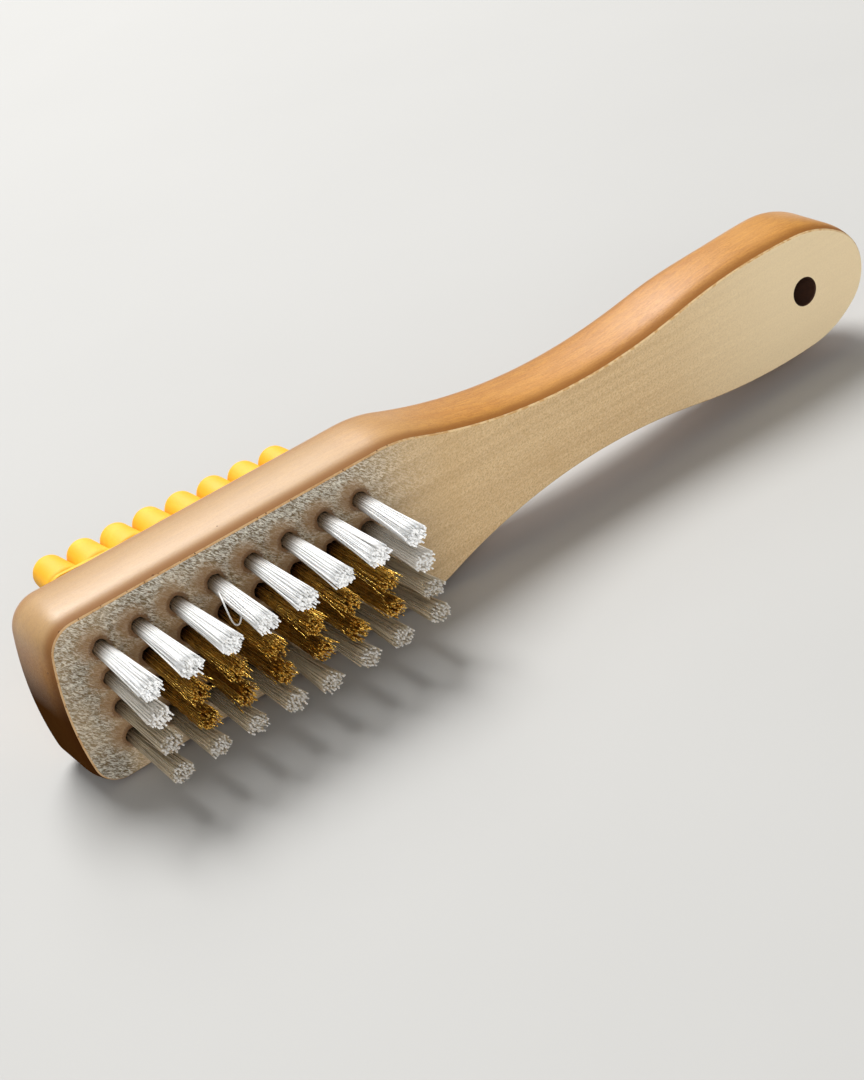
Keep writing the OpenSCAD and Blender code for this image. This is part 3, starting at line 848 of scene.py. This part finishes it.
# Rubber pad: a thin plate with round corners and rows of blunt nubs, glued on slightly askew
pad = dict(
    place=38.8, skew=math.radians(3), plate=1.0, rim=0.12, endRim=1.2, plateEdge=0.3, plateSides=96,
    columns=8, rows=4, pitch=7.0, rowPitch=7.876, nubRadius=3.35, nubHeight=9.4, fullness=0.88,
    flank=[(0, 4.5), (1.5, 4.1), (3, 3.8), (4.5, 3.6), (6, 3.44), (7.3, 3.3)],
    splay=0.55, lean=-0.35, leanJitter=0.06, heightJitter=0.08, nubSink=0.1, endClear=0.05,
    nubSides=48, domeRings=16, edgeSteps=5)
rubberLook = dict(
    tones=((247, 180, 32), (250, 194, 62)), bloomScale=140.0, skinScale=1800.0, reliefDepth=0.00003)


def placeOnBack(points):
    # From the pad's own upright place to the back of the head, face down and turned by the skew
    x, y, z = points[..., 0], -points[..., 1], points[..., 2]
    cos, sin = math.cos(-pad["skew"]), math.sin(-pad["skew"])
    return np.stack([pad["place"] + x * cos - y * sin, x * sin + y * cos, -thickness - z], axis=-1)


def plateRings():
    # Quarter circles round the four corners, drawn in at the top by a small round edge
    corner = pad["nubRadius"] + pad["rim"]
    halfLength = (pad["columns"] - 1) * pad["pitch"] / 2 + pad["endRim"] - pad["rim"]
    halfWidth = (pad["rows"] - 1) * pad["rowPitch"] / 2
    angle = np.linspace(0, 2 * math.pi, pad["plateSides"], endpoint=False) + math.pi / pad["plateSides"]
    ray = np.stack([np.cos(angle), np.sin(angle)], axis=1)
    middle = np.stack([np.sign(ray[:, 0]) * halfLength, np.sign(ray[:, 1]) * halfWidth], axis=1)
    outline = np.hstack([middle + corner * ray, ray])
    turn = np.linspace(0, math.pi / 2, pad["edgeSteps"] + 1)
    edge = pad["plateEdge"]
    insets = np.concatenate([[0.0], edge * (1 - np.cos(turn))])
    heights = np.concatenate([[0.0], pad["plate"] - edge + edge * np.sin(turn)])
    return layers(outline, insets, heights)


def nubRings():
    # Profile: a hollow flank that widens into the neighbours, and a dome fuller than a quarter ellipse.
    # Across the rows the flank stays narrow, and the tips splay and lean a little.
    rng = np.random.default_rng(11)
    flank = np.array(pad["flank"], float)
    shoulder, top = flank[-1]
    full, poleGap = pad["fullness"], 0.02
    angle = np.linspace(0, math.pi / 2 - poleGap, pad["domeRings"])[1:]
    radius = np.concatenate([flank[:, 1], top * np.cos(angle) ** full])
    dome = shoulder + (pad["nubHeight"] - shoulder) * np.sin(angle) ** (1 / full)
    height = pad["plate"] + np.concatenate([flank[:, 0] - pad["nubSink"], dome])
    column, row = np.meshgrid(np.arange(pad["columns"]), np.arange(pad["rows"]))
    x = (column.ravel() - (pad["columns"] - 1) / 2) * pad["pitch"]
    y = (row.ravel() - (pad["rows"] - 1) / 2) * pad["rowPitch"]
    turn = np.linspace(0, 2 * math.pi, pad["nubSides"], endpoint=False)
    share = (height / height[-1])[None, :, None]
    tall = height[None, :, None] - share * rng.uniform(0, pad["heightJitter"], (len(x), 1, 1))
    lean = rng.normal(0, pad["leanJitter"], (2, len(x), 1, 1))
    edge = y.max() + pad["nubRadius"] + pad["rim"] / 2
    end = x.max() + pad["nubRadius"] + pad["endRim"] - pad["endClear"]
    across = np.clip(radius[None, :, None] * np.cos(turn) + x[:, None, None], -end, end)
    narrow = np.minimum(radius, pad["nubRadius"])[None, :, None]
    up = np.clip(narrow * np.sin(turn) + y[:, None, None], -edge, edge)
    across = across + (lean[0] + pad["lean"]) * share
    up = up + (lean[1] + pad["splay"] * (y / y.max())[:, None, None]) * share
    return np.stack([across, up, np.broadcast_to(tall, across.shape)], axis=-1)


def rubberMaterial():
    # Soft yellow rubber: satin skin, a dusty bloom in patches and a faint orange-peel surface
    look = rubberLook
    material, tree, shader, position = newMaterial(
        "yellowRubber", Subsurface_Weight=0.2, Subsurface_Radius=(1.0, 0.7, 0.2), Subsurface_Scale=0.003,
        IOR=1.45)
    bloom = noise(tree, position, look["bloomScale"], 5.0, 0.6)
    skin = noise(tree, position, look["skinScale"], 3.0)
    feed(tree, shader, Base_Color=blendColours(tree, ramp(tree, bloom, 0.45, 0.75), *look["tones"]),
         Roughness=between(tree, bloom, 0.46, 0.76), Normal=bumped(tree, skin, look["reliefDepth"], 0.5))
    return material


def buildPad():
    plate = tubeMesh("plate", placeOnBack(plateRings()))
    nubs = tubeMesh("nubs", placeOnBack(nubRings()), smoothCaps=True)
    rubber = rubberMaterial()
    plate.materials.append(rubber)
    nubs.materials.append(rubber)
    plate.set_sharp_from_angle(angle=math.radians(50))
    addPiece("rubber_pad_plate", plate, "rubber", "rubber_pad")
    addPiece("rubber_pad_nubs", nubs, "rubber", "rubber_pad")


buildPad()
print("stage 4: rubber pad moulded")


# Anchors stay as they are inside the wood, and get the finish of drawn flat wire
wireLook = dict(tones=((196, 196, 194), (168, 168, 166)), grainScale=2000.0)


def wireMaterial():
    look = wireLook
    material, tree, shader, position = newMaterial("flatWire", Metallic=1.0)
    drawn = useGroup(tree, streaks, position, Stretch=(0.1, 1, 1), Scale=look["grainScale"], Sharpness=0.3)
    feed(tree, shader, Base_Color=blendColours(tree, drawn.outputs["Mask"], *look["tones"]),
         Roughness=between(tree, drawn.outputs["Fine"], 0.25, 0.45))
    return material


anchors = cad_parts["tuft_anchors"]
anchors.data.materials.clear()
anchors.data.materials.append(wireMaterial())


# Stage: camera at the photo's angle, pale floor and soft light. The camera's place is in millimetres and
# the lamps' in metres.
camera = dict(
    lens=76.2, sensor=36.0, place=(-188.5, -335.7, 230.1),
    right=(0.792, -0.563, -0.237), forward=(0.394, 0.768, -0.506))
lamps = [
    dict(name="keyLamp", place=(0.1, 0.95, 1.6), size=1.1, power=46.0),
    dict(name="backLamp", place=(0.6, 1.54, 1.12), size=0.6, power=4.8),
    dict(name="frontLamp", place=(-0.7, -1.3, 0.7), size=1.1, power=11.8)]
lampAim = (0, 0, 0.02)
stageLook = dict(
    floor=(182, 181, 178), mottle=4, mottleScale=12.0, floorReach=3.0,
    worldLight=0.26, worldSeen=0.9, worldMirrored=0.2)


def buildCamera():
    # It looks forward, and its back direction is made exactly square to its right
    eye = bpy.data.cameras.new("camera")
    eye.lens = camera["lens"]
    eye.sensor_width = camera["sensor"]
    eye.clip_start = 0.01
    holder = bpy.data.objects.new("camera", eye)
    bpy.context.scene.collection.objects.link(holder)
    right = Vector(camera["right"]).normalized()
    back = -Vector(camera["forward"])
    back = (back - right * back.dot(right)).normalized()
    turn = Matrix([right, back.cross(right), back]).transposed()
    holder.matrix_world = Matrix.Translation(Vector(camera["place"]) * mm) @ turn.to_4x4()
    bpy.context.scene.camera = holder


def buildLamps():
    # Round area lamps, all aimed at the middle of the brush
    for lamp in lamps:
        light = bpy.data.lights.new(lamp["name"], "AREA")
        light.shape = "DISK"
        light.size = lamp["size"]
        light.energy = lamp["power"]
        holder = bpy.data.objects.new(lamp["name"], light)
        bpy.context.scene.collection.objects.link(holder)
        place = Vector(lamp["place"])
        holder.location = place
        holder.rotation_euler = (place - Vector(lampAim)).to_track_quat("Z", "Y").to_euler()


def buildWorld():
    # One level lights the scene, another is seen behind the floor and a third in reflections
    world = bpy.data.worlds.new("studio")
    world.use_nodes = True
    bpy.context.scene.world = world
    tree = world.node_tree
    tree.nodes.clear()
    path = tree.nodes.new("ShaderNodeLightPath")
    light = stageLook["worldLight"]
    level = between(tree, path.outputs["Is Camera Ray"], light, stageLook["worldSeen"])
    level = mathNode(
        tree, "MULTIPLY_ADD", path.outputs["Is Glossy Ray"], stageLook["worldMirrored"] - light, level)
    back = tree.nodes.new("ShaderNodeBackground")
    back.inputs[0].default_value = (1, 1, 1, 1)
    tree.links.new(level, back.inputs[1])
    out = tree.nodes.new("ShaderNodeOutputWorld")
    tree.links.new(back.outputs[0], out.inputs[0])


def buildFloor():
    reach = stageLook["floorReach"]
    mesh = bpy.data.meshes.new("floor")
    corners = [(-reach, -reach, 0), (reach, -reach, 0), (reach, reach, 0), (-reach, reach, 0)]
    mesh.from_pydata(corners, [], [(0, 1, 2, 3)])
    floor = bpy.data.objects.new("floor", mesh)
    bpy.context.scene.collection.objects.link(floor)
    material, tree, shader, position = newMaterial("paleFloor", Roughness=0.7)
    cloud = noise(tree, position, stageLook["mottleScale"], 3.0)
    darker = [value - stageLook["mottle"] for value in stageLook["floor"]]
    feed(tree, shader, Base_Color=blendColours(tree, cloud, stageLook["floor"], darker))
    mesh.materials.append(material)


buildCamera()
buildLamps()
buildWorld()
buildFloor()
bpy.context.scene.view_settings.view_transform = "Standard"
print("stage 5: camera, lamps and floor placed")
